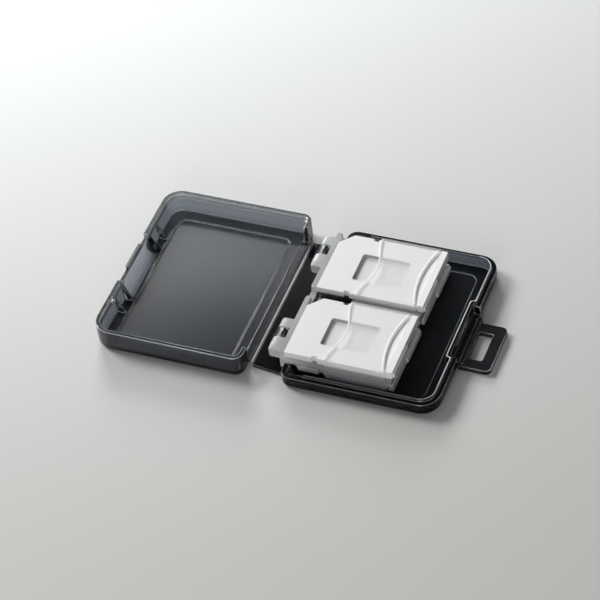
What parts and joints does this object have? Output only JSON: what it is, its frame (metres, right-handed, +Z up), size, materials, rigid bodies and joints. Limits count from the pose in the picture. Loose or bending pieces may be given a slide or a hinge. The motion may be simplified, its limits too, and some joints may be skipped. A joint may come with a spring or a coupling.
{
  "type": "memory card case",
  "caption": "Hinged flat case of smoky plastic with a strap loop, holding a turning page of pockets with sliding card trays.",
  "frame": {"origin": "on the table under the middle of the open case", "axes": "+X from the lid to the strap loop, +Y along the folds, +Z up"},
  "size_m": [0.1204, 0.064, 0.0094],
  "materials": {
    "smoke_shell": "glossy, see-through smoke grey polypropylene",
    "clear_page": "milky, half-clear polypropylene",
    "white_tray": "satin white"
  },
  "bodies": {
    "base": {"base_tray": "smoke_shell", "strap_loop": "smoke_shell"},
    "spine": {"spine_panel": "smoke_shell", "base_fold_web": "smoke_shell", "lid_fold_web": "smoke_shell", "page_clip_near": "smoke_shell", "page_clip_far": "smoke_shell"},
    "lid": {"lid_cover": "smoke_shell", "latch_tongue": "smoke_shell"},
    "pins": {"page_pin_near": "clear_page", "page_pin_far": "clear_page"},
    "page": {"page_frame": "clear_page", "pocket_top_near": "clear_page", "pocket_top_far": "clear_page", "pocket_bottom_near": "clear_page", "pocket_bottom_far": "clear_page"},
    "tray_top_near": {"tray_top_near": "white_tray"},
    "tray_top_far": {"tray_top_far": "white_tray"},
    "tray_bottom_near": {"tray_bottom_near": "white_tray"},
    "tray_bottom_far": {"tray_bottom_far": "white_tray"}
  },
  "joints": [
    {"name": "spine_fold", "type": "hinge", "parent": "base", "child": "spine", "pos_m": [0.0005, 0, 0.0009], "axis": [0, 1, 0], "range_deg": [0, 90]},
    {"name": "lid_fold", "type": "hinge", "parent": "spine", "child": "lid", "pos_m": [-0.0105, 0, 0.0009], "axis": [0, 1, 0], "range_deg": [0, 90]},
    {"name": "page_level", "type": "hinge", "parent": "spine", "child": "pins", "pos_m": [-0.0039, 0, 0.0055], "axis": [0, 1, 0], "range_deg": [-90, 0]},
    {"name": "page_flip", "type": "hinge", "parent": "pins", "child": "page", "pos_m": [-0.0039, 0, 0.0055], "axis": [0, 1, 0], "range_deg": [-180, 0]},
    {"name": "tray_top_near_slide", "type": "slide", "parent": "page", "child": "tray_top_near", "axis": [-1, 0, 0], "range_m": [-0.01, 0]},
    {"name": "tray_top_far_slide", "type": "slide", "parent": "page", "child": "tray_top_far", "axis": [-1, 0, 0], "range_m": [-0.01, 0]},
    {"name": "tray_bottom_near_slide", "type": "slide", "parent": "page", "child": "tray_bottom_near", "axis": [-1, 0, 0], "range_m": [-0.01, 0]},
    {"name": "tray_bottom_far_slide", "type": "slide", "parent": "page", "child": "tray_bottom_far", "axis": [-1, 0, 0], "range_m": [-0.01, 0]}
  ],
  "couplings": [
    {"joint": "lid_fold", "follows": "spine_fold", "ratio": 1},
    {"joint": "page_level", "follows": "spine_fold", "ratio": -1}
  ]
}
